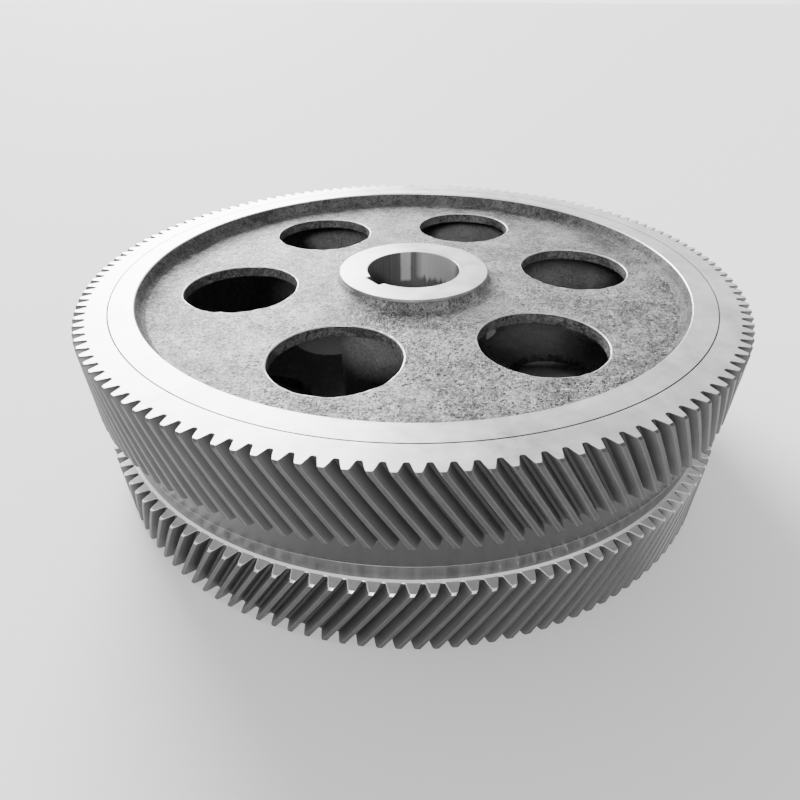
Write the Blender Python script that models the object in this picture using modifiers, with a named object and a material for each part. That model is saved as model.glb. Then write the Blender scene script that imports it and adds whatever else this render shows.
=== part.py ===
"""Double-helical gear: a toothed steel rim shrunk onto a cast box-section wheel centre.

Metres, +Z up. The gear axis is Z and the origin is the middle of the face width. The keyway opens
towards +X. The rim is shrunk on with its teeth a little behind the keyway.
"""

import math

import bmesh
import bpy

# Toothing, in the transverse plane
TOOTH_COUNT = 138
TRANSVERSE_MODULE = 0.010
PRESSURE_ANGLE = math.radians(20)
HELIX_ANGLE = math.radians(31)
PITCH_RADIUS = TOOTH_COUNT * TRANSVERSE_MODULE / 2
TIP_RADIUS = PITCH_RADIUS + TRANSVERSE_MODULE
ROOT_RADIUS = PITCH_RADIUS - 1.25 * TRANSVERSE_MODULE
TOOTH_PITCH = math.tau / TOOTH_COUNT
RIM_PHASE = -0.18 * TOOTH_PITCH

# Face width: a band of each hand, with the tool run-out groove between them
BAND_WIDTH = 0.147
GROOVE_WIDTH = 0.102
GROOVE_RADIUS = ROOT_RADIUS - 0.0065
HALF_GROOVE = GROOVE_WIDTH / 2
HALF_WIDTH = HALF_GROOVE + BAND_WIDTH
BAND_STEPS = 2

# Shrink joint between the rim and the wheel centre
JOINT_RADIUS = 0.6385
JOINT_GAP = 0.0003

# Wheel centre
TURNED_STEPS = 72
RIM_INNER_RADIUS = 0.591
RIM_WALL_DRAFT = 0.004
RIM_EDGE_BEVEL = 0.003
WEB_SETBACK = 0.030
WEB_THICKNESS = 0.025
WEB_FILLET = 0.016
HUB_FACE_RADIUS = 0.168
HUB_FACE_SETBACK = 0.008
HUB_EDGE_BEVEL = 0.002
HUB_FLARE = 0.008
HUB_FILLET = 0.014
HUB_CORE_RADIUS = 0.178
RIM_CORE_RADIUS = 0.586
CORE_CORNER = 0.020
BORE_RADIUS = 0.105
BORE_BEVEL = 0.002
KEYWAY_WIDTH = 0.050
KEYWAY_FLOOR = BORE_RADIUS + 0.0114

# Lightening holes through both webs
HOLE_COUNT = 6
HOLE_CIRCLE_RADIUS = 0.387
HOLE_RADIUS = 0.1225
HOLE_SIDES = 40
FIRST_HOLE_ANGLE = math.radians(30)

CUTTER_MARGIN = 0.020


def clear_scene():
    for old in list(bpy.data.objects):
        bpy.data.objects.remove(old)


def new_collection(name):
    collection = bpy.data.collections.new(name)
    bpy.context.scene.collection.children.link(collection)
    return collection


def add_object(name, mesh, collection):
    piece = bpy.data.objects.new(name, mesh)
    collection.objects.link(piece)
    return piece


def set_material(piece, name, colour, roughness, metallic):
    material = bpy.data.materials.new(name)
    material.use_nodes = True
    shader = material.node_tree.nodes["Principled BSDF"]
    shader.inputs["Base Color"].default_value = (*colour, 1.0)
    shader.inputs["Roughness"].default_value = roughness
    shader.inputs["Metallic"].default_value = metallic
    piece.data.materials.append(material)


def arc(centre, radius, start, end, segments):
    """Points of an arc in the profile plane, angles in degrees from the outward direction."""
    points = []
    for i in range(segments + 1):
        angle = math.radians(start + (end - start) * i / segments)
        points.append((centre[0] + radius * math.cos(angle), centre[1] + radius * math.sin(angle)))
    return points


def turned(name, profile, collection, closed=False):
    """A profile of (radius, height) points turned about Z."""
    mesh = bpy.data.meshes.new(name)
    bm = bmesh.new()
    verts = [bm.verts.new((radius, 0, height)) for radius, height in profile]
    for first, second in zip(verts, verts[1:]):
        bm.edges.new((first, second))
    if closed:
        bm.edges.new((verts[-1], verts[0]))
    bm.to_mesh(mesh)
    bm.free()
    piece = add_object(name, mesh, collection)
    screw = piece.modifiers.new("turn", "SCREW")
    screw.steps = TURNED_STEPS
    screw.render_steps = TURNED_STEPS
    screw.use_merge_vertices = True
    screw.merge_threshold = 0.00001
    return piece


def cut(piece, cutter):
    cutter.hide_render = True
    cutter.display_type = "WIRE"
    boolean = piece.modifiers.new("cut " + cutter.name, "BOOLEAN")
    boolean.operation = "DIFFERENCE"
    boolean.solver = "EXACT"
    boolean.object = cutter


def involute(angle):
    return math.tan(angle) - angle


def half_tooth_angle(radius):
    """Half the angle that a tooth fills at a radius."""
    flank_angle = math.acos(PITCH_RADIUS * math.cos(PRESSURE_ANGLE) / radius)
    return TOOTH_PITCH / 4 + involute(PRESSURE_ANGLE) - involute(flank_angle)


def tooth_loop(twist):
    """Corners of every tooth, root to tip to root, as (angle, radius)."""
    root = half_tooth_angle(ROOT_RADIUS)
    tip = half_tooth_angle(TIP_RADIUS)
    corners = ((-root, ROOT_RADIUS), (-tip, TIP_RADIUS), (tip, TIP_RADIUS), (root, ROOT_RADIUS))
    loop = []
    for tooth in range(TOOTH_COUNT):
        centre = tooth * TOOTH_PITCH + twist
        loop += [(centre + angle, radius) for angle, radius in corners]
    return loop


def round_loop(radius, twist):
    """A circle with one point for each tooth, given once for each of the tooth's four corners."""
    return [(tooth * TOOTH_PITCH + twist, radius) for tooth in range(TOOTH_COUNT) for _ in range(4)]


def helix_twist(height):
    """How far round the teeth have turned at a height; both hands lead the same way to the groove."""
    per_metre = math.tan(HELIX_ANGLE) / PITCH_RADIUS
    return RIM_PHASE + (HALF_WIDTH - abs(height)) * per_metre


def band_stations(bottom):
    stations = []
    for step in range(BAND_STEPS + 1):
        height = bottom + BAND_WIDTH * step / BAND_STEPS
        stations.append((height, tooth_loop(helix_twist(height))))
    return stations


def groove_station(height):
    return (height, round_loop(GROOVE_RADIUS, helix_twist(height)))


def joint_station(height):
    """The joint bore, its flats tangent to the joint's circle."""
    return (height, round_loop(JOINT_RADIUS / math.cos(TOOTH_PITCH / 2), 0))


def rim_stations():
    """Loops round the rim's section: up the outside, over the top face and down the joint bore."""
    stations = band_stations(-HALF_WIDTH)
    stations += [groove_station(-HALF_GROOVE), groove_station(HALF_GROOVE)]
    stations += band_stations(HALF_GROOVE)
    stations += [joint_station(HALF_WIDTH), joint_station(-HALF_WIDTH)]
    return stations


def station_verts(bm, station):
    """A vertex for each point of a loop, shared where points repeat."""
    height, loop = station
    made = {}
    for point in loop:
        if point not in made:
            angle, radius = point
            made[point] = bm.verts.new((radius * math.cos(angle), radius * math.sin(angle), height))
    return [made[point] for point in loop]


def toothed_rim(collection):
    bm = bmesh.new()
    loops = [station_verts(bm, station) for station in rim_stations()]
    for low, high in zip(loops, loops[1:] + loops[:1]):
        for i in range(len(low)):
            corners = dict.fromkeys((low[i - 1], low[i], high[i], high[i - 1]))
            if len(corners) > 2:
                bm.faces.new(corners)
    bmesh.ops.recalc_face_normals(bm, faces=bm.faces[:])
    mesh = bpy.data.meshes.new("toothed_rim")
    bm.to_mesh(mesh)
    bm.free()
    rim = add_object("toothed_rim", mesh, collection)
    set_material(rim, "machined steel", (0.56, 0.56, 0.56), 0.35, 1.0)


def centre_profile():
    """Upper half of the wheel centre's outline, up the bore, over the top and down the joint."""
    web = HALF_WIDTH - WEB_SETBACK
    hub_top = HALF_WIDTH - HUB_FACE_SETBACK
    boss_foot = HUB_FACE_RADIUS + HUB_FLARE
    wall_foot = RIM_INNER_RADIUS - RIM_WALL_DRAFT
    joint = JOINT_RADIUS - JOINT_GAP
    profile = [
        (BORE_RADIUS, 0),
        (BORE_RADIUS, hub_top - BORE_BEVEL),
        (BORE_RADIUS + BORE_BEVEL, hub_top),
        (HUB_FACE_RADIUS - HUB_EDGE_BEVEL, hub_top),
        (HUB_FACE_RADIUS, hub_top - HUB_EDGE_BEVEL),
    ]
    profile += arc((boss_foot + HUB_FILLET, web + HUB_FILLET), HUB_FILLET, 180, 270, 2)
    profile += arc((wall_foot - WEB_FILLET, web + WEB_FILLET), WEB_FILLET, 270, 360, 2)
    profile += [
        (RIM_INNER_RADIUS, HALF_WIDTH - RIM_EDGE_BEVEL),
        (RIM_INNER_RADIUS + RIM_EDGE_BEVEL, HALF_WIDTH),
        (joint, HALF_WIDTH),
        (joint, 0),
    ]
    return profile


def core_profile():
    """Outline of the hollow between the webs, with its corners rounded."""
    inner = HUB_CORE_RADIUS + CORE_CORNER
    outer = RIM_CORE_RADIUS - CORE_CORNER
    top = HALF_WIDTH - WEB_SETBACK - WEB_THICKNESS - CORE_CORNER
    profile = arc((inner, top), CORE_CORNER, 180, 90, 2)
    profile += arc((outer, top), CORE_CORNER, 90, 0, 2)
    profile += arc((outer, -top), CORE_CORNER, 0, -90, 2)
    profile += arc((inner, -top), CORE_CORNER, -90, -180, 2)
    return profile


def hole_cutter(index, collection):
    angle = FIRST_HOLE_ANGLE + index * math.tau / HOLE_COUNT
    length = 2 * (HALF_WIDTH + CUTTER_MARGIN)
    name = f"hole {index + 1}"
    mesh = bpy.data.meshes.new(name)
    bm = bmesh.new()
    bmesh.ops.create_cone(
        bm, cap_ends=True, segments=HOLE_SIDES, radius1=HOLE_RADIUS, radius2=HOLE_RADIUS, depth=length
    )
    bm.to_mesh(mesh)
    bm.free()
    cutter = add_object(name, mesh, collection)
    cutter.location = (HOLE_CIRCLE_RADIUS * math.cos(angle), HOLE_CIRCLE_RADIUS * math.sin(angle), 0)
    cutter.rotation_euler.z = angle
    return cutter


def keyway_cutter(collection):
    length = 2 * (HALF_WIDTH + CUTTER_MARGIN)
    mesh = bpy.data.meshes.new("keyway")
    bm = bmesh.new()
    bmesh.ops.create_cube(bm, size=1)
    bmesh.ops.scale(bm, vec=(KEYWAY_FLOOR, KEYWAY_WIDTH, length), verts=bm.verts[:])
    bm.to_mesh(mesh)
    bm.free()
    cutter = add_object("keyway", mesh, collection)
    cutter.location.x = KEYWAY_FLOOR / 2
    return cutter


def wheel_centre(collection, cutters):
    centre = turned("wheel_centre", centre_profile(), collection)
    mirror = centre.modifiers.new("lower half", "MIRROR")
    mirror.use_axis = (False, False, True)
    mirror.merge_threshold = 0.00001
    set_material(centre, "cast iron", (0.42, 0.42, 0.42), 0.75, 0.6)
    cut(centre, turned("core", core_profile(), cutters, closed=True))
    for index in range(HOLE_COUNT):
        cut(centre, hole_cutter(index, cutters))
    cut(centre, keyway_cutter(cutters))


def main():
    clear_scene()
    parts = new_collection("double_helical_gear")
    cutters = new_collection("cutters")
    toothed_rim(parts)
    wheel_centre(parts, cutters)


main()
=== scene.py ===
"""Double-helical gear: a detailed rim and wheel centre in place of the CAD solids, in a soft studio."""

import math

import bmesh
import bpy
import numpy as np
from mathutils import Matrix, Vector, noise


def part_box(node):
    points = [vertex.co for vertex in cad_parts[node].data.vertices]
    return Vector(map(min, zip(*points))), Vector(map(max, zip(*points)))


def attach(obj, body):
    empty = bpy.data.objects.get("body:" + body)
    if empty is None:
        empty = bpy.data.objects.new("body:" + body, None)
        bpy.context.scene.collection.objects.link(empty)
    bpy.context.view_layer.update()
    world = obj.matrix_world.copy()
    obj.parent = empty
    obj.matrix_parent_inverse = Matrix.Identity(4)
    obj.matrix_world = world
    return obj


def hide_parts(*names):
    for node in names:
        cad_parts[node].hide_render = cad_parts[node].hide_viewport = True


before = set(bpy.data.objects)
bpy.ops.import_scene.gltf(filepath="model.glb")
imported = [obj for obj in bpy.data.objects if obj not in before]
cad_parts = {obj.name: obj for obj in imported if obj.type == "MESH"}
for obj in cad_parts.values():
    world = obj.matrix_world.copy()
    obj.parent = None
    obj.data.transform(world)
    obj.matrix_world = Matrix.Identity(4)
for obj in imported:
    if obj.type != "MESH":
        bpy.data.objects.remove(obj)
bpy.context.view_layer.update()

# Sizes read from the frame
rim_low, rim_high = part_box("toothed_rim")
centre_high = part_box("wheel_centre")[1]
HALF_WIDTH = rim_high.z
TIP_RADIUS = min(rim_high.x, rim_high.y)
CENTRE_RADIUS = centre_high.x

# Toothed rim, as in the CAD model
TOOTH_COUNT = 138
MODULE = TIP_RADIUS / (TOOTH_COUNT / 2 + 1)
PRESSURE_ANGLE = math.radians(20)
HELIX_ANGLE = math.radians(31)
PITCH_RADIUS = TOOTH_COUNT / 2 * MODULE
ROOT_RADIUS = PITCH_RADIUS - 1.25 * MODULE
TOOTH_PITCH = math.tau / TOOTH_COUNT
RIM_PHASE = -0.18 * TOOTH_PITCH
HALF_GROOVE = 0.051
GROOVE_RADIUS = ROOT_RADIUS - 0.0065
JOINT_RADIUS = CENTRE_RADIUS + 0.0003

# Finer features of the toothed rim: fillets, bevels and the step turned in the groove
ROOT_FILLET = 0.26 * MODULE
TIP_BEVEL = 0.0007
TOP_END_BEVEL = 0.0035
GROOVE_END_BEVEL = 0.0030
DEBURR = 0.0009
LEDGE_BEVEL = 0.0004
JOINT_BEVEL = 0.0012
GROOVE_LINE = -0.0200
GROOVE_STEP = 0.0002

# Wheel centre, as in the CAD model
SECTORS = 6
HOLE_CIRCLE = 0.387
HOLE_RADIUS = 0.1225
WEB_TOP = HALF_WIDTH - 0.030
WEB_THICKNESS = 0.025
WEB_UNDER = WEB_TOP - WEB_THICKNESS
WEB_FILLET = 0.016
HUB_TOP = HALF_WIDTH - 0.008
HUB_RADIUS = 0.168
HUB_CORE = 0.178
BOSS_FOOT = 0.190
BORE_RADIUS = 0.105
KEY_HALF_WIDTH = 0.025
KEY_FLOOR = BORE_RADIUS + 0.0114
RIM_INNER = 0.591
RIM_CORE = 0.586
WALL_FOOT = RIM_INNER - 0.004
WEB_OUTER = WALL_FOOT - WEB_FILLET

# Finer features of the wheel centre: bevels, worn edges and the bends of its cast surfaces
HUB_BAND = 0.0055
HUB_EDGE = 0.001
BOSS_NECK = 0.0012
BOSS_TOP = (0.1705, WEB_TOP + 0.0135)
BORE_BEVEL = 0.0016
HOLE_EDGE = 0.0030
RIM_BEVEL = 0.0013
WALL_KNEE = (WALL_FOOT + 0.002, WEB_TOP + 0.022)
WALL_LIP = (RIM_INNER - 0.0003, HALF_WIDTH - RIM_BEVEL - 0.001)

# Mesh density of a tooth, and the ring of points inside the roots on the rim's faces
BAND_STEPS = 9
FLANK_STEPS = 5
FILLET_STEPS = 4
END_FACE_RADIUS = ROOT_RADIUS - 0.004

# Points of the bore's ring from the middle of the keyway to its corner
KEY_POINTS = 7

# Mesh density of one sector of the web
ARC_INNER = 32
ARC_OUTER = 80
SIDE_POINTS = 36
WEB_RINGS = 30
UNDER_RINGS = 12

# Material slots of the toothed rim
RIM_FACE, FLANK, GROOVE, LAND, BAND_END, BEVEL, LEDGE, JOINT = range(8)

# Mark for the bevelled end of a lower tooth, which is a bevel on the tip and flank beside it
BEVELLED_LAND = 8

# Material slots of the wheel centre
TURNED, SKIN, BORE, BRIGHT, HOLLOW, TRIMMED, WALL, WORN, SEAM, BOSS = range(10)

# Relief of the sand casting, as (size of a bump, its height), and how much of it a surface takes
RELIEF = ((0.055, 0.0007), (0.019, 0.0004), (0.009, 0.0002))
EDGE_WEAR = ((0.028, 0.0011), (0.013, 0.0008))
MACHINED = 0.0
CAST = 1.0
RAGGED = 2.0

# Blow holes, as (cell scale, full depth within, gone beyond, mask scale, rarity)
BLOW_HOLES = ((56, 0.14, 0.22, 26, 0.53), (135, 0.20, 0.34, 38, 0.50))

# Streaks along the teeth: how far their pattern moves on from one column of points to the next
STREAK_STEP = 0.0031

# Angles round the axis in degrees: the middle of the painted highlight on the bore, of the bore's rubbed
# patch and of the painted light on the ledge
BORE_HIGHLIGHT_ANGLE = -118
RUBBED_PATCH = -168
LEDGE_LIGHT_ANGLE = 14

# Camera: its place round the middle of the gear's upper face, and its turns away from that point
CAMERA_AZIMUTH = math.radians(51.13)
CAMERA_DISTANCE = 1.3295
CAMERA_ELEVATION = math.radians(21.664)
CAMERA_YAW = math.radians(-0.063)
CAMERA_PITCH = math.radians(-13.493)
CAMERA_ROLL = math.radians(-0.178)
CAMERA_LENS = 25.539
CAMERA_SHIFT = (-0.0173, 0.0016)

# Brightness of the room in front and at the back left, and the share of it left overhead
WORLD_DIM = 0.45
WORLD_BRIGHT = 3.3
WORLD_OVERHEAD = 0.35


def grid_faces(index):
    """Corner indices of the faces between the rows and columns of an array of point indices."""
    corners = (index[:-1, :-1], index[:-1, 1:], index[1:, 1:], index[1:, :-1])
    return np.stack(corners, -1).reshape(-1, 4)


class Surface:
    """Grids of points gathered into one mesh. Each point carries how rough the casting is there."""

    def __init__(self):
        self.points = []
        self.relief = []
        self.faces = []
        self.materials = []
        self.count = 0

    def add_grid(self, rows, relief, material, wrap):
        """rows is an array of (row, column, xyz), and relief is one value for each row."""
        row_count, column_count = rows.shape[:2]
        index = self.count + np.arange(row_count * column_count).reshape(row_count, column_count)
        if wrap:
            index = np.hstack([index, index[:, :1]])
        faces = grid_faces(index)
        self.points.append(rows.reshape(-1, 3))
        self.relief.append(np.repeat(np.asarray(relief, float), column_count))
        self.faces.append(faces)
        self.materials.append(np.full(len(faces), material))
        self.count += row_count * column_count

    def arrays(self):
        return (
            np.concatenate(self.points),
            np.concatenate(self.relief),
            np.concatenate(self.faces),
            np.concatenate(self.materials),
        )


def mesh_object(name, points, faces, face_materials, materials, attributes=()):
    mesh = bpy.data.meshes.new(name)
    mesh.from_pydata(points.tolist(), [], faces.tolist())
    for material in materials:
        mesh.materials.append(material)
    mesh.polygons.foreach_set("material_index", face_materials.astype(np.int32))
    for attribute_name, values in attributes:
        attribute = mesh.attributes.new(attribute_name, "FLOAT", "POINT")
        attribute.data.foreach_set("value", values.astype(np.float32))
    piece = bpy.data.objects.new(name, mesh)
    bpy.context.scene.collection.objects.link(piece)
    return piece


def close_mesh(piece, distance, sharp_angle):
    """Joins points that meet, drops collapsed faces and turns the faces outward."""
    bm = bmesh.new()
    bm.from_mesh(piece.data)
    bmesh.ops.remove_doubles(bm, verts=bm.verts[:], dist=distance)
    bmesh.ops.dissolve_degenerate(bm, edges=bm.edges[:], dist=distance)
    bmesh.ops.recalc_face_normals(bm, faces=bm.faces[:])
    open_edges = sum(1 for edge in bm.edges if not edge.is_manifold)
    print(f"{piece.name}: {len(bm.verts)} points, {open_edges} open edges")
    bm.to_mesh(piece.data)
    bm.free()
    piece.data.shade_smooth()
    piece.data.set_sharp_from_angle(angle=sharp_angle)


def polar(radii, angles, height):
    """Points at radii and angles, which broadcast, at one height."""
    x = radii * np.cos(angles)
    y = radii * np.sin(angles)
    return np.stack([x, y, np.full_like(x, height)], -1)


# Toothed rim

def involute(angle):
    return math.tan(angle) - angle


def half_tooth_angle(radius):
    flank_angle = math.acos(PITCH_RADIUS * math.cos(PRESSURE_ANGLE) / radius)
    return TOOTH_PITCH / 4 + involute(PRESSURE_ANGLE) - involute(flank_angle)


def half_gap_width(radius):
    return (TOOTH_PITCH / 2 - half_tooth_angle(radius)) * radius


def half_tooth_outline():
    """From the middle of the gap to the middle of the tip, as (angle from the gap's middle, radius)."""
    fillet_end = math.radians(72)
    start_radius = ROOT_RADIUS + ROOT_FILLET * (1 - math.cos(fillet_end))
    fillet_centre = half_gap_width(start_radius) - ROOT_FILLET * math.sin(fillet_end)
    outline = [(0.0, ROOT_RADIUS)]
    for i in range(FILLET_STEPS + 1):
        turn = fillet_end * i / FILLET_STEPS
        radius = ROOT_RADIUS + ROOT_FILLET * (1 - math.cos(turn))
        outline.append(((fillet_centre + ROOT_FILLET * math.sin(turn)) / radius, radius))
    flank_top = TIP_RADIUS - TIP_BEVEL
    for i in range(1, FLANK_STEPS + 1):
        radius = start_radius + (flank_top - start_radius) * i / FLANK_STEPS
        outline.append((TOOTH_PITCH / 2 - half_tooth_angle(radius), radius))
    edge = TOOTH_PITCH / 2 - half_tooth_angle(TIP_RADIUS) + TIP_BEVEL / TIP_RADIUS
    outline.append((edge, TIP_RADIUS))
    outline.append((TOOTH_PITCH / 2, TIP_RADIUS))
    return outline


def tooth_outline():
    """One pitch of the toothing, from gap to gap, as arrays of angle and radius."""
    half = half_tooth_outline()
    mirrored = [(TOOTH_PITCH - angle, radius) for angle, radius in half[-2:0:-1]]
    whole = np.array(half + mirrored)
    return whole[:, 0] - TOOTH_PITCH / 2, whole[:, 1]


def helix_twist(height):
    per_metre = math.tan(HELIX_ANGLE) / PITCH_RADIUS
    return RIM_PHASE + (HALF_WIDTH - abs(height)) * per_metre


def band_heights(side):
    """Heights of one band's loops, from its groove end to its outer end, finer at the bevelled ends."""
    inner = HALF_GROOVE
    outer = HALF_WIDTH
    first = [inner, inner + DEBURR, inner + GROOVE_END_BEVEL]
    last = [outer - TOP_END_BEVEL, outer - DEBURR, outer]
    middle = np.linspace(first[-1], last[0], BAND_STEPS + 1)[1:-1]
    return [side * height for height in (*first, *middle, *last)]


def tooth_loop(height):
    """The toothing's outline at a height, drawn in where the ends are bevelled and deburred."""
    angles, radii = tooth_outline()
    from_groove = abs(height) - HALF_GROOVE
    from_face = HALF_WIDTH - abs(height)
    limit = TIP_RADIUS
    limit -= max(0.0, GROOVE_END_BEVEL - from_groove)
    limit -= max(0.0, TOP_END_BEVEL - from_face)
    drawn_in = max(0.0, DEBURR - from_groove, DEBURR - from_face)
    narrow = np.sign(angles) * drawn_in / radii * (radii > ROOT_RADIUS + DEBURR)
    radii = np.minimum(radii, limit) - drawn_in * (radii <= ROOT_RADIUS + DEBURR)
    teeth = np.arange(TOOTH_COUNT)[:, None] * TOOTH_PITCH + helix_twist(height)
    loop_angles = (teeth + angles - narrow).ravel()
    return loop_angles, np.tile(radii, TOOTH_COUNT)


def rim_rows():
    """Loops up the outside of the rim, over the top face, down the joint bore and under the lower face.

    They come with a material for each, which the faces from that loop to the next one take.
    """
    face_angles = tooth_loop(HALF_WIDTH)[0]
    groove_angles = tooth_loop(HALF_GROOVE)[0]
    rows = []
    materials = []

    def add_row(angles, radii, height, material):
        rows.append(polar(radii, angles, height))
        materials.append(material)

    def add_ring(angles, radius, height, material):
        add_row(angles, np.full_like(angles, radius), height, material)

    for height in band_heights(-1)[::-1]:
        add_row(*tooth_loop(height), height, FLANK)
    materials[-3:] = [BEVELLED_LAND, BEVEL, BAND_END]
    ledge_radius = ROOT_RADIUS - DEBURR
    turned_down = GROOVE_RADIUS - GROOVE_STEP
    add_ring(groove_angles, ledge_radius, -HALF_GROOVE, LEDGE)
    add_ring(groove_angles, GROOVE_RADIUS, -HALF_GROOVE + LEDGE_BEVEL, GROOVE)
    add_ring(groove_angles, GROOVE_RADIUS, GROOVE_LINE, BAND_END)
    add_ring(groove_angles, turned_down, GROOVE_LINE + GROOVE_STEP, GROOVE)
    add_ring(groove_angles, turned_down, HALF_GROOVE - LEDGE_BEVEL, BAND_END)
    add_ring(groove_angles, ledge_radius, HALF_GROOVE, BAND_END)
    for height in band_heights(1):
        add_row(*tooth_loop(height), height, FLANK)
    materials[-1] = RIM_FACE
    joint_edge = JOINT_RADIUS + JOINT_BEVEL
    add_ring(face_angles, END_FACE_RADIUS, HALF_WIDTH, RIM_FACE)
    add_ring(face_angles, joint_edge, HALF_WIDTH, JOINT)
    add_ring(face_angles, JOINT_RADIUS, HALF_WIDTH - JOINT_BEVEL, JOINT)
    add_ring(face_angles, JOINT_RADIUS, -HALF_WIDTH + JOINT_BEVEL, JOINT)
    add_ring(face_angles, joint_edge, -HALF_WIDTH, RIM_FACE)
    add_ring(face_angles, END_FACE_RADIUS, -HALF_WIDTH, RIM_FACE)
    return np.array(rows), materials


def rim_face_materials(row_materials, column_count):
    """The material of every face of the rim, with the tip lands picked out from the flanks."""
    materials = np.repeat(row_materials, column_count)
    at_tip = tooth_outline()[1] > TIP_RADIUS - TIP_BEVEL / 2
    at_tip = np.tile(at_tip, TOOTH_COUNT)
    on_tip = np.tile(at_tip & np.roll(at_tip, -1), len(row_materials))
    materials = np.where((materials == FLANK) & on_tip, LAND, materials)
    materials = np.where((materials == BEVELLED_LAND) & on_tip, BEVEL, materials)
    return np.where(materials == BEVELLED_LAND, FLANK, materials)


def toothed_rim(materials_used):
    rows, row_materials = rim_rows()
    row_count, column_count = rows.shape[:2]
    index = np.arange(row_count * column_count).reshape(row_count, column_count)
    index = np.vstack([index, index[:1]])
    faces = grid_faces(np.hstack([index, index[:, :1]]))
    along = np.repeat(rows[:, 0, 2], column_count)
    across = np.tile(np.arange(column_count) * STREAK_STEP, row_count)
    piece = mesh_object(
        "toothed_rim_detail",
        rows.reshape(-1, 3),
        faces,
        rim_face_materials(row_materials, column_count),
        materials_used,
        (("along", along), ("across", across)),
    )
    close_mesh(piece, 0.000002, math.radians(28))
    return piece


# Wheel centre

def bore_loop(angles, offset):
    """The bore and its keyway, as angles and radii. offset widens both, for the bevel at the hub."""
    radii = np.full_like(angles, BORE_RADIUS + offset)
    half = KEY_HALF_WIDTH + offset / 2
    floor = KEY_FLOOR + offset / 2
    turned = angles.copy()
    for k in range(-KEY_POINTS, KEY_POINTS + 1):
        i = k % len(angles)
        if abs(k) == KEY_POINTS:
            y = math.copysign(half, k)
            x = math.sqrt((BORE_RADIUS + offset) ** 2 - half ** 2)
        else:
            y = half * k / (KEY_POINTS - 1)
            x = floor
        radii[i] = math.hypot(x, y)
        turned[i] = math.atan2(y, x)
    return turned, radii


def sector_boundary(inner, outer):
    """Points round one sector of a web, centred on +X: outer arc, side, inner arc and side."""
    half = math.pi / SECTORS
    outer_angles = np.linspace(-half, half, ARC_OUTER + 1)[:-1]
    inner_angles = np.linspace(half, -half, ARC_INNER + 1)[:-1]
    down = np.linspace(outer, inner, SIDE_POINTS + 1)[:-1]
    back_up = np.linspace(inner, outer, SIDE_POINTS + 1)[:-1]
    radii = np.concatenate([np.full(ARC_OUTER, outer), down, np.full(ARC_INNER, inner), back_up])
    angles = np.concatenate(
        [outer_angles, np.full(SIDE_POINTS, half), inner_angles, np.full(SIDE_POINTS, -half)]
    )
    return np.stack([radii * np.cos(angles), radii * np.sin(angles)], -1)


def web_rows(inner, outer, height, hole_radius, rings):
    """Rings from the hole's edge out to the sector's boundary, closer together at the edge."""
    boundary = sector_boundary(inner, outer)
    hole_centre = np.array([HOLE_CIRCLE, 0.0])
    direction = boundary - hole_centre
    reach = np.linalg.norm(direction, axis=1)
    direction = direction / reach[:, None]
    rows = []
    for i in range(rings + 1):
        share = (i / rings) ** 1.35
        radius = hole_radius + (reach - hole_radius) * share
        flat = hole_centre + direction * radius[:, None]
        rows.append(np.column_stack([flat, np.full(len(flat), height)]))
    return np.array(rows), direction


def arc_profile(centre, radius, start, end, steps):
    angles = np.radians(np.linspace(start, end, steps + 1))
    return [(centre[0] + radius * math.cos(a), centre[1] + radius * math.sin(a)) for a in angles]


def hole_rows(direction):
    """The wall of a lightening hole from the web's upper edge to its lower one, both worn round."""
    profile = arc_profile((HOLE_RADIUS + HOLE_EDGE, WEB_TOP - HOLE_EDGE), HOLE_EDGE, 90, 180, 4)
    middle = np.linspace(WEB_TOP - HOLE_EDGE, WEB_UNDER + HOLE_EDGE, 7)[1:-1]
    profile += [(HOLE_RADIUS, height) for height in middle]
    profile += arc_profile((HOLE_RADIUS + HOLE_EDGE, WEB_UNDER + HOLE_EDGE), HOLE_EDGE, 180, 270, 4)
    hole_centre = np.array([HOLE_CIRCLE, 0.0])
    rows = []
    for radius, height in profile:
        flat = hole_centre + direction * radius
        rows.append(np.column_stack([flat, np.full(len(flat), height)]))
    return np.array(rows)


def turned_rows(profile, angles):
    """A full ring of points for each radius and height of a profile."""
    return np.array([polar(np.full_like(angles, radius), angles, height) for radius, height in profile])


def spun(rows, sector):
    """Rows turned round the axis from +X to one of the sectors."""
    angle = math.pi / SECTORS + sector * math.tau / SECTORS
    turn = np.array([[math.cos(angle), math.sin(angle)], [-math.sin(angle), math.cos(angle)]])
    out = rows.copy()
    out[..., :2] = rows[..., :2] @ turn
    return out


def add_upper_half(surface):
    """The upper half of the wheel centre, from the bore's middle round to the joint's middle."""
    inner_angles = np.arange(SECTORS * ARC_INNER) * math.tau / (SECTORS * ARC_INNER)
    outer_angles = np.arange(SECTORS * ARC_OUTER) * math.tau / (SECTORS * ARC_OUTER)
    add_hub(surface, inner_angles)
    add_outer_ring(surface, outer_angles)
    add_webs(surface)
    add_hollow(surface, inner_angles, outer_angles)


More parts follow.
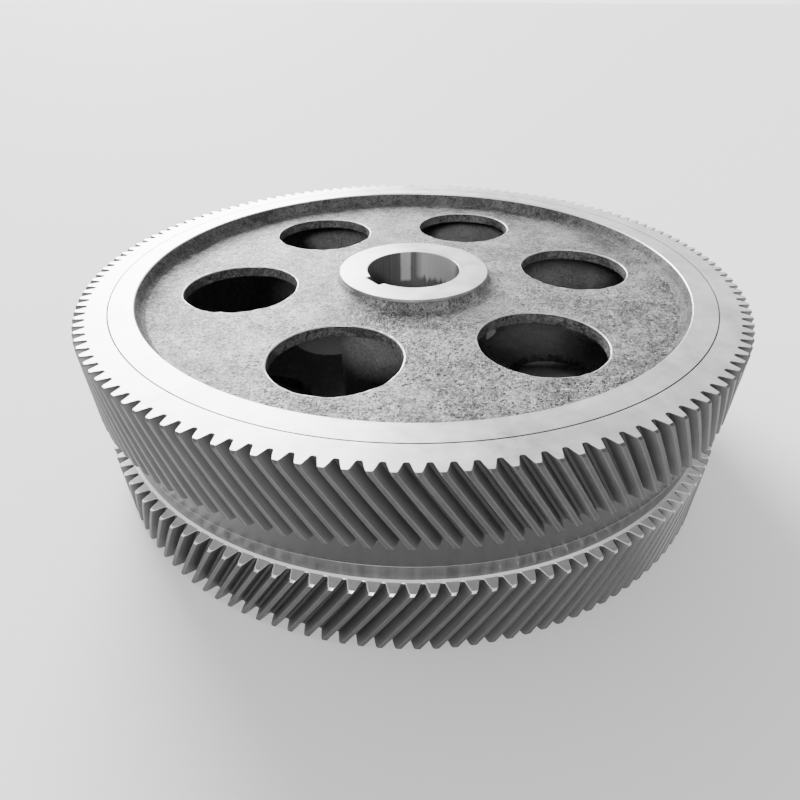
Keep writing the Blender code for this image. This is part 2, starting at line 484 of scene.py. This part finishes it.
def add_hub(surface, angles):
    """The keyed bore, the hub's turned face and band, and the boss that flares into the web."""
    bore = []
    for height in (0, 0.06, 0.12, HUB_TOP - BORE_BEVEL):
        bore_angles, radii = bore_loop(angles, 0)
        bore.append(polar(radii, bore_angles, height))
    bore_angles, radii = bore_loop(angles, BORE_BEVEL)
    bore.append(polar(radii, bore_angles, HUB_TOP))
    surface.add_grid(np.array(bore), [MACHINED] * len(bore), BORE, True)
    face = [bore[-1]]
    for radius in (0.128, 0.148, HUB_RADIUS - HUB_EDGE):
        face.append(polar(np.full_like(angles, radius), angles, HUB_TOP))
    surface.add_grid(np.array(face), [MACHINED] * len(face), TURNED, True)

    foot = HUB_TOP - HUB_BAND
    band = [(HUB_RADIUS - HUB_EDGE, HUB_TOP), (HUB_RADIUS, HUB_TOP - HUB_EDGE), (HUB_RADIUS, foot)]
    surface.add_grid(turned_rows(band, angles), [MACHINED] * len(band), TURNED, True)
    boss = [(HUB_RADIUS, foot), (HUB_RADIUS - BOSS_NECK, foot - BOSS_NECK)]
    for turn in np.radians(np.linspace(0, 90, 9)):
        across = (BOSS_FOOT - BOSS_TOP[0]) * (1 - math.cos(turn))
        down = (BOSS_TOP[1] - WEB_TOP) * math.sin(turn)
        boss.append((BOSS_TOP[0] + across, BOSS_TOP[1] - down))
    relief = [MACHINED, 0.2] + [CAST] * (len(boss) - 2)
    surface.add_grid(turned_rows(boss, angles), relief, BOSS, True)


def add_outer_ring(surface, angles):
    """The cast wall round the web, its bevelled lip, the turned rim face and the joint."""
    centre = (WEB_OUTER, WEB_TOP + WEB_FILLET)
    foot = arc_profile(centre, WEB_FILLET, 270, 290, 3)
    surface.add_grid(turned_rows(foot, angles), [CAST, 1.3, 1.6, 1.6], SKIN, True)
    wall = arc_profile(centre, WEB_FILLET, 290, 360, 5) + [WALL_KNEE, WALL_LIP]
    relief = [1.6, 1.6, 1.3] + [CAST] * (len(wall) - 4) + [0.35]
    surface.add_grid(turned_rows(wall, angles), relief, WALL, True)
    edge = RIM_INNER + RIM_BEVEL
    bevel = [WALL_LIP, (RIM_INNER, HALF_WIDTH - RIM_BEVEL), (edge, HALF_WIDTH)]
    surface.add_grid(turned_rows(bevel, angles), [0.35, 0.15, MACHINED], BRIGHT, True)
    rim = [(edge, HALF_WIDTH), (0.615, HALF_WIDTH), (CENTRE_RADIUS - JOINT_BEVEL, HALF_WIDTH)]
    surface.add_grid(turned_rows(rim, angles), [MACHINED] * len(rim), TURNED, True)
    joint = [rim[-1], (CENTRE_RADIUS, HALF_WIDTH - JOINT_BEVEL), (CENTRE_RADIUS, 0)]
    surface.add_grid(turned_rows(joint, angles), [MACHINED] * len(joint), SEAM, True)


def add_webs(surface):
    """The web with its lightening holes: upper side, worn edges, hole walls and under side."""
    hole_edge = HOLE_RADIUS + HOLE_EDGE
    top, direction = web_rows(BOSS_FOOT, WEB_OUTER, WEB_TOP, hole_edge, WEB_RINGS)
    under = web_rows(BOSS_FOOT, WEB_OUTER, WEB_UNDER, hole_edge, UNDER_RINGS)[0]
    walls = hole_rows(direction)
    for sector in range(SECTORS):
        relief = [1.7, 1.7, 1.4] + [CAST] * (len(top) - 3)
        surface.add_grid(spun(top, sector), relief, SKIN, True)
        wall = spun(walls, sector)
        surface.add_grid(wall[:4], [1.7, RAGGED, RAGGED, RAGGED], WORN, True)
        surface.add_grid(wall[3:], [RAGGED] * (len(wall) - 3), TRIMMED, True)
        relief = [RAGGED, 1.6] + [CAST] * (len(under) - 2)
        surface.add_grid(spun(under, sector), relief, HOLLOW, True)


def add_hollow(surface, inner_angles, outer_angles):
    """The walls between the webs, round the hub and inside the rim."""
    for start, wall_radius, angles, end in (
        (BOSS_FOOT, HUB_CORE, inner_angles, 180),
        (WEB_OUTER, RIM_CORE, outer_angles, 0),
    ):
        fillet = abs(start - wall_radius)
        core = arc_profile((start, WEB_UNDER - fillet), fillet, 90, end, 5)
        core += [(wall_radius, WEB_UNDER - 0.05), (wall_radius, 0)]
        surface.add_grid(turned_rows(core, angles), [CAST] * len(core), HOLLOW, True)


def cast_relief(point, amount):
    """How far the sand casting's surface stands out at a point."""
    height = 0.0
    for size, depth in RELIEF:
        height += depth * noise.noise(point / size)
    if amount > CAST:
        for size, depth in EDGE_WEAR:
            height += (amount - CAST) * depth * noise.noise(point / size + Vector((7, 3, 5)))
    return height * min(amount, 1.0)


def wheel_centre(materials_used):
    surface = Surface()
    add_upper_half(surface)
    points, relief, faces, materials = surface.arrays()
    lower = points * np.array([1, 1, -1])
    points = np.vstack([points, lower])
    faces = np.vstack([faces, faces[:, ::-1] + len(lower)])
    piece = mesh_object(
        "wheel_centre_detail",
        points,
        faces,
        np.tile(materials, 2),
        materials_used,
        (("relief", np.tile(relief, 2)),),
    )
    close_mesh(piece, 0.00001, math.radians(32))
    mesh = piece.data
    amounts = [item.value for item in mesh.attributes["relief"].data]
    normals = [vertex.normal.copy() for vertex in mesh.vertices]
    for vertex, amount, normal in zip(mesh.vertices, amounts, normals):
        if amount > MACHINED:
            vertex.co += normal * cast_relief(vertex.co, amount)
    mesh.attributes.remove(mesh.attributes["relief"])
    return piece


# Materials

class Nodes:
    """A material's node tree, with short calls for the nodes that repeat."""

    def __init__(self, name, metallic, roughness):
        self.material = bpy.data.materials.new(name)
        self.material.use_nodes = True
        self.tree = self.material.node_tree
        self.shader = self.tree.nodes["Principled BSDF"]
        self.shader.inputs["Metallic"].default_value = metallic
        self.shader.inputs["Roughness"].default_value = roughness
        self.place = self.add("ShaderNodeTexCoord").outputs["Object"]

    def add(self, kind, **settings):
        node = self.tree.nodes.new(kind)
        for name, value in settings.items():
            setattr(node, name, value)
        return node

    def link(self, source, target):
        if isinstance(source, (int, float)):
            target.default_value = source
        else:
            self.tree.links.new(source, target)

    def math(self, operation, first, second=0.0, third=0.0, clamp=False):
        node = self.add("ShaderNodeMath", operation=operation, use_clamp=clamp)
        for value, socket in zip((first, second, third), node.inputs):
            self.link(value, socket)
        return node.outputs[0]

    def noise(self, scale, detail=2.0, roughness=0.5, vector=None, distortion=0.0):
        node = self.add("ShaderNodeTexNoise")
        self.link(self.place if vector is None else vector, node.inputs["Vector"])
        node.inputs["Scale"].default_value = scale
        node.inputs["Detail"].default_value = detail
        node.inputs["Roughness"].default_value = roughness
        node.inputs["Distortion"].default_value = distortion
        return node.outputs["Fac"]

    def lines(self, position, scale, detail=2.0):
        """Noise along one coordinate."""
        node = self.add("ShaderNodeTexNoise", noise_dimensions="1D")
        self.link(position, node.inputs["W"])
        node.inputs["Scale"].default_value = scale
        node.inputs["Detail"].default_value = detail
        return node.outputs["Fac"]

    def coordinate(self, axis):
        split = self.add("ShaderNodeSeparateXYZ")
        self.link(self.place, split.inputs[0])
        return split.outputs[axis]

    def height(self):
        return self.coordinate("Z")

    def angle(self):
        return self.math("ARCTAN2", self.coordinate("Y"), self.coordinate("X"))

    def outward(self):
        """The point's place across the axis, with its height taken away."""
        flat = self.add("ShaderNodeVectorMath", operation="MULTIPLY")
        self.link(self.place, flat.inputs[0])
        flat.inputs[1].default_value = (1, 1, 0)
        return flat.outputs[0]

    def radius(self):
        length = self.add("ShaderNodeVectorMath", operation="LENGTH")
        self.link(self.outward(), length.inputs[0])
        return length.outputs["Value"]

    def facing(self, degrees):
        """Cosine of the angle round the axis between a point and a direction."""
        unit = self.add("ShaderNodeVectorMath", operation="NORMALIZE")
        self.link(self.outward(), unit.inputs[0])
        dot = self.add("ShaderNodeVectorMath", operation="DOT_PRODUCT")
        self.link(unit.outputs[0], dot.inputs[0])
        turn = math.radians(degrees)
        dot.inputs[1].default_value = (math.cos(turn), math.sin(turn), 0)
        return dot.outputs["Value"]

    def ramp(self, value, low, high, out_low, out_high):
        node = self.add("ShaderNodeMapRange")
        self.link(value, node.inputs["Value"])
        node.inputs["From Min"].default_value = low
        node.inputs["From Max"].default_value = high
        node.inputs["To Min"].default_value = out_low
        node.inputs["To Max"].default_value = out_high
        return node.outputs["Result"]

    def grey(self, value):
        """A grey level as the surface's colour."""
        node = self.add("ShaderNodeCombineColor")
        for socket in node.inputs:
            self.link(value, socket)
        self.link(node.outputs[0], self.shader.inputs["Base Color"])

    def bump(self, heights, distance):
        """Adds relief to the surface, in metres, for each height given."""
        normal = None
        for height, depth in heights:
            node = self.add("ShaderNodeBump")
            node.inputs["Distance"].default_value = depth * distance
            self.link(height, node.inputs["Height"])
            if normal is not None:
                self.link(normal, node.inputs["Normal"])
            normal = node.outputs[0]
        self.link(normal, self.shader.inputs["Normal"])


def turned_face():
    """Faced steel and iron: rings left by the tool, with cloudy smears and light handling marks."""
    n = Nodes("turned_face", 0.75, 0.34)
    radius = n.radius()
    rings = n.lines(radius, 900, 3)
    bands = n.lines(radius, 60, 3)
    smears = n.noise(7.0, 6, 0.62, distortion=1.2)
    clouds = n.noise(22.0, 4, 0.6)
    level = n.math("MULTIPLY_ADD", bands, 0.04, -0.05)
    level = n.math("MULTIPLY_ADD", smears, 0.62, level)
    level = n.math("MULTIPLY_ADD", clouds, 0.30, level)
    n.grey(level)
    gloss = n.math("MULTIPLY_ADD", smears, 0.26, 0.16)
    gloss = n.math("MULTIPLY_ADD", clouds, 0.10, gloss)
    n.link(n.math("MULTIPLY_ADD", rings, 0.06, gloss), n.shader.inputs["Roughness"])
    n.bump(((rings, 1.0), (bands, 1.2)), 0.00006)
    return n.material


def edge_highlight_and_wear(name, darkest, range_of_grey, metallic):
    """Narrow bevels and worn edges, paler than the faces beside them: on machined bevels the pale grey
    is a painted highlight, on worn edges it is wear.
    """
    n = Nodes(name, metallic, 0.38)
    n.grey(n.math("MULTIPLY_ADD", n.noise(60, 4, 0.6), range_of_grey, darkest))
    return n.material


def cut_flank():
    """Hobbed tooth flanks: streaks along the tooth, with painted shade that darkens the roots and the
    whole lower band.
    """
    n = Nodes("cut_flank", 0.12, 0.42)
    n.shader.inputs["Specular IOR Level"].default_value = 0.35
    streak = n.add("ShaderNodeCombineXYZ")
    across = n.add("ShaderNodeAttribute", attribute_name="across")
    along = n.add("ShaderNodeAttribute", attribute_name="along")
    n.link(n.math("MULTIPLY", across.outputs["Fac"], 160), streak.inputs[0])
    n.link(n.math("MULTIPLY", along.outputs["Fac"], 9), streak.inputs[1])
    streaks = n.noise(1.0, 4, 0.6, vector=streak.outputs[0])
    depth = n.ramp(n.radius(), ROOT_RADIUS, TIP_RADIUS, 0.0, 1.0)
    oil = n.noise(14, 4, 0.6)
    level = n.math("MULTIPLY_ADD", streaks, 0.06, 0.045)
    level = n.math("MULTIPLY_ADD", oil, 0.05, level)
    # Painted shade: the flank's colour darkens towards the root, standing in for the shadow down in the
    # tooth gaps.
    level = n.math("MULTIPLY", level, n.math("MULTIPLY_ADD", depth, 0.95, 0.30))
    # Painted shade: the lower band's colour is darker than the upper band's.
    n.grey(n.math("MULTIPLY", level, n.ramp(n.height(), -0.06, -0.05, 0.66, 0.92)))
    n.link(n.math("MULTIPLY_ADD", streaks, 0.2, 0.34), n.shader.inputs["Roughness"])
    n.bump(((streaks, 1.0),), 0.0002)
    return n.material


def tip_land():
    """Turned tip lands between the cut flanks."""
    n = Nodes("tip_land", 0.12, 0.45)
    n.shader.inputs["Specular IOR Level"].default_value = 0.3
    rings = n.lines(n.height(), 900, 2)
    level = n.math("MULTIPLY_ADD", rings, 0.02, 0.015)
    level = n.math("MULTIPLY_ADD", n.noise(22, 4, 0.6), 0.055, level)
    n.grey(level)
    n.bump(((rings, 1.0),), 0.00004)
    return n.material


def turned_groove():
    """The run-out groove: tool lines all round, with upright streaks below its turned step, painted
    reflections of the tooth ends that also vary roughness and bump.
    """
    n = Nodes("turned_groove", 0.7, 0.36)
    rings = n.lines(n.height(), 700, 3)
    below_line = n.ramp(n.height(), GROOVE_LINE - 0.0005, GROOVE_LINE + 0.0005, 1.0, 0.15)
    tooth_reflection_streaks = n.math("MULTIPLY", n.lines(n.angle(), 34, 4), below_line)
    # Painted reflection: the streaks below the turned step lighten the colour, as the tooth ends would
    # reflect there.
    level = n.math("MULTIPLY_ADD", tooth_reflection_streaks, 0.13, 0.05)
    level = n.math("MULTIPLY_ADD", rings, 0.03, level)
    n.grey(level)
    n.link(n.math("MULTIPLY_ADD", tooth_reflection_streaks, 0.16, 0.24), n.shader.inputs["Roughness"])
    n.bump(((rings, 1.0), (tooth_reflection_streaks, 3.0)), 0.00006)
    return n.material


def ledge_painted_light():
    """The ledge under the groove: a pale grey, much paler round the front of the gear, painted light for
    the light it catches there.
    """
    n = Nodes("ledge_painted_light", 0.0, 0.4)
    # Painted light: the ledge's colour is raised where it faces round the angle it is centred on.
    bright = n.ramp(n.facing(LEDGE_LIGHT_ANGLE), 0.20, 0.50, 0.35, 0.90)
    n.grey(n.math("MULTIPLY_ADD", n.noise(60, 4, 0.6), 0.08, bright))
    return n.material


def band_end():
    """The ends of the teeth at the groove, the ledge above it and the step in it."""
    n = Nodes("band_end", 0.25, 0.45)
    marks = n.noise(70, 4, 0.6)
    n.grey(n.math("MULTIPLY_ADD", marks, 0.22, 0.26))
    return n.material


def polished_bore():
    """The ground bore: one bright upright band that is a painted reflection, a duller rubbed patch and
    faint hone lines.
    """
    n = Nodes("polished_bore", 0.7, 0.34)
    # Painted highlight: an upright band high on the bore, centred on one angle, is lightened to stand
    # for a reflection of the light.
    edges = n.math("MULTIPLY_ADD", n.lines(n.height(), 24, 2), 0.004, -0.002)
    band = n.ramp(n.math("ADD", n.facing(BORE_HIGHLIGHT_ANGLE), edges), 0.990, 0.996, 0.0, 1.0)
    band = n.math("MULTIPLY", band, n.ramp(n.height(), 0.114, 0.121, 0.0, 1.0))
    ragged = n.math("MULTIPLY_ADD", n.lines(n.angle(), 11, 2), 0.028, -0.014)
    low = n.math("ADD", n.height(), ragged)
    rubbed = n.ramp(n.facing(RUBBED_PATCH), 0.80, 0.90, 0.0, 1.0)
    rubbed = n.math("MULTIPLY", rubbed, n.ramp(low, 0.119, 0.131, 0.0, 1.0))
    streaks = n.lines(n.angle(), 22, 3)
    level = n.math("MULTIPLY_ADD", streaks, 0.12, 0.10)
    level = n.math("MULTIPLY_ADD", band, 0.45, level)
    n.grey(n.math("MULTIPLY_ADD", rubbed, 0.42, level))
    n.bump(((n.lines(n.height(), 500, 2), 1.0),), 0.00003)
    return n.material


def seam():
    """Dried oil and dirt in the joint between the rim and the wheel centre."""
    n = Nodes("seam", 0.0, 0.8)
    n.grey(n.math("MULTIPLY_ADD", n.noise(30, 3, 0.6), 0.03, 0.01))
    return n.material


def cast_iron(name, darkest, range_of_grey, metallic, roughness):
    """Sand-cast iron: sand grain, bright wrinkles, dark blow holes and duller patches."""
    n = Nodes(name, metallic, roughness)
    patches = n.noise(11, 3, 0.5)
    mottle = n.noise(48, 5, 0.7)
    grain = n.noise(165, 3, 0.72)
    grit = n.noise(420, 2, 0.6)
    wrinkles = n.noise(62, 4, 0.62, distortion=2.2)
    wrinkles = n.math("ABSOLUTE", n.math("MULTIPLY_ADD", wrinkles, 2.0, -1.0))
    wrinkles = n.ramp(wrinkles, 0.0, 0.14, 1.0, 0.0)
    wrinkles = n.math("MULTIPLY", wrinkles, n.ramp(n.noise(8, 2, 0.5), 0.45, 0.60, 0.0, 1.0))
    pits = None
    for scale, low, high, mask_scale, rarity in BLOW_HOLES:
        cells = n.add("ShaderNodeTexVoronoi", feature="F1")
        n.link(n.place, cells.inputs["Vector"])
        cells.inputs["Scale"].default_value = scale
        near = n.ramp(cells.outputs["Distance"], low, high, 1.0, 0.0)
        chosen = n.ramp(n.noise(mask_scale, 2, 0.5), rarity, rarity + 0.02, 0.0, 1.0)
        holes = n.math("MULTIPLY", near, chosen, clamp=True)
        pits = holes if pits is None else n.math("MAXIMUM", pits, holes)
    blend = n.math("MULTIPLY", mottle, 0.23)
    blend = n.math("MULTIPLY_ADD", grain, 0.34, blend)
    blend = n.math("MULTIPLY_ADD", grit, 0.26, blend)
    blend = n.math("MULTIPLY_ADD", patches, 0.17, blend)
    blend = n.ramp(blend, 0.453, 0.563, 0.0, 1.0)
    blend = n.math("MULTIPLY_ADD", wrinkles, 0.75, blend)
    blend = n.math("MULTIPLY_ADD", pits, -1.0, blend)
    level = n.math("MULTIPLY_ADD", n.math("MAXIMUM", blend, 0.0), range_of_grey, darkest)
    n.grey(level)
    n.link(n.math("MULTIPLY_ADD", grain, 0.3, roughness - 0.15), n.shader.inputs["Roughness"])
    sunk = n.math("MULTIPLY", pits, -1.0)
    n.bump(((mottle, 26.0), (grain, 20.0), (grit, 10.0), (wrinkles, 9.0), (sunk, 10.0)), 0.0004)
    return n.material


def pale_floor():
    n = Nodes("pale_floor", 0.0, 0.9)
    n.grey(n.math("MULTIPLY_ADD", n.noise(0.7, 2), 0.01, 0.86))
    return n.material


# Studio

def view_axes():
    """Directions to the right and to the back of the gear, as its front faces the camera."""
    right = Vector((-math.sin(CAMERA_AZIMUTH), math.cos(CAMERA_AZIMUTH), 0))
    back = Vector((-math.cos(CAMERA_AZIMUTH), -math.sin(CAMERA_AZIMUTH), 0))
    return right, back


def add_camera():
    right, back = view_axes()
    up = Vector((0, 0, 1))
    aim = Vector((0, 0, HALF_WIDTH))
    away = -back * math.cos(CAMERA_ELEVATION) + up * math.sin(CAMERA_ELEVATION)
    axes = Matrix((right, away.cross(right), away)).transposed()
    turn = Matrix.Rotation(CAMERA_YAW, 3, "Y") @ Matrix.Rotation(CAMERA_PITCH, 3, "X")
    turn = turn @ Matrix.Rotation(-CAMERA_ROLL, 3, "Z")
    camera = bpy.data.objects.new("camera", bpy.data.cameras.new("camera"))
    camera.data.sensor_width = 36
    camera.data.lens = CAMERA_LENS
    camera.data.shift_x, camera.data.shift_y = CAMERA_SHIFT
    camera.data.clip_end = 1500
    camera.matrix_world = Matrix.Translation(aim + away * CAMERA_DISTANCE) @ (axes @ turn).to_4x4()
    bpy.context.scene.collection.objects.link(camera)
    bpy.context.scene.camera = camera


def add_wide_light(name, left_of_back, elevation, spread, strength):
    """A broad distant light, placed by its angles in degrees from the far side of the gear."""
    right, back = view_axes()
    turn = math.radians(left_of_back)
    rise = math.radians(elevation)
    flat = back * math.cos(turn) - right * math.sin(turn)
    towards = flat * math.cos(rise) + Vector((0, 0, math.sin(rise)))
    lamp = bpy.data.lights.new(name, "SUN")
    lamp.angle = math.radians(spread)
    lamp.energy = strength
    light = bpy.data.objects.new(name, lamp)
    light.location = towards * 4
    light.rotation_mode = "QUATERNION"
    light.rotation_quaternion = (-towards).to_track_quat("-Z", "Y")
    bpy.context.scene.collection.objects.link(light)


def add_floor():
    bm = bmesh.new()
    bmesh.ops.create_grid(bm, x_segments=4, y_segments=4, size=500)
    mesh = bpy.data.meshes.new("floor")
    bm.to_mesh(mesh)
    bm.free()
    floor = bpy.data.objects.new("floor", mesh)
    floor.location.z = rim_low.z
    mesh.materials.append(pale_floor())
    bpy.context.scene.collection.objects.link(floor)


def add_world():
    """A soft room, brightest low down at the back left and dimmer in front and overhead."""
    right, back = view_axes()
    world = bpy.data.worlds.new("studio")
    bpy.context.scene.world = world
    world.use_nodes = True
    tree = world.node_tree
    place = tree.nodes.new("ShaderNodeTexCoord")

    def faded(direction, start, end, low, high):
        aim = tree.nodes.new("ShaderNodeVectorMath")
        aim.operation = "DOT_PRODUCT"
        aim.inputs[1].default_value = direction
        tree.links.new(place.outputs["Generated"], aim.inputs[0])
        fade = tree.nodes.new("ShaderNodeMapRange")
        fade.interpolation_type = "SMOOTHSTEP"
        fade.inputs["From Min"].default_value = start
        fade.inputs["From Max"].default_value = end
        fade.inputs["To Min"].default_value = low
        fade.inputs["To Max"].default_value = high
        tree.links.new(aim.outputs["Value"], fade.inputs["Value"])
        return fade.outputs["Result"]

    around = faded((back * 0.92 - right * 0.39).normalized(), -0.3, 0.9, WORLD_DIM, WORLD_BRIGHT)
    overhead = faded((0, 0, 1), 0.36, 0.74, 1.0, WORLD_OVERHEAD)
    product = tree.nodes.new("ShaderNodeMath")
    product.operation = "MULTIPLY"
    tree.links.new(around, product.inputs[0])
    tree.links.new(overhead, product.inputs[1])
    background = tree.nodes["Background"]
    background.inputs["Color"].default_value = (1.0, 1.0, 1.0, 1)
    tree.links.new(product.outputs[0], background.inputs["Strength"])


def main():
    face = turned_face()
    joint = seam()
    # The machined bevels take a pale grey as a painted highlight; the worn hole edges made below are
    # paler through wear.
    bevel = edge_highlight_and_wear("edge_highlight_and_wear", darkest=0.52, range_of_grey=0.22, metallic=0.5)
    flank = cut_flank()
    groove = turned_groove()
    rim = toothed_rim((face, flank, groove, tip_land(), band_end(), bevel, ledge_painted_light(), joint))
    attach(rim, "root")
    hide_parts("toothed_rim")
    skin = cast_iron("sand_cast_iron", darkest=0.01, range_of_grey=0.31, metallic=0.60, roughness=0.38)
    hollow = cast_iron("core_iron", darkest=0.10, range_of_grey=0.05, metallic=0.0, roughness=0.8)
    wall = cast_iron("wall_iron", darkest=0.03, range_of_grey=0.14, metallic=0.2, roughness=0.60)
    edge = cast_iron("trimmed_iron", darkest=0.02, range_of_grey=0.14, metallic=0.2, roughness=0.60)
    worn = edge_highlight_and_wear("worn_edge", darkest=0.18, range_of_grey=0.50, metallic=0.4)
    boss = cast_iron("boss_iron", darkest=0.07, range_of_grey=0.30, metallic=0.2, roughness=0.5)
    bore = polished_bore()
    centre = wheel_centre((face, skin, bore, bevel, hollow, edge, wall, worn, joint, boss))
    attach(centre, "root")
    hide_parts("wheel_centre")
    add_floor()
    add_world()
    add_camera()
    add_wide_light("key", left_of_back=23, elevation=23, spread=34, strength=10.5)
    add_wide_light("front", left_of_back=168, elevation=25, spread=10, strength=4.2)


main()
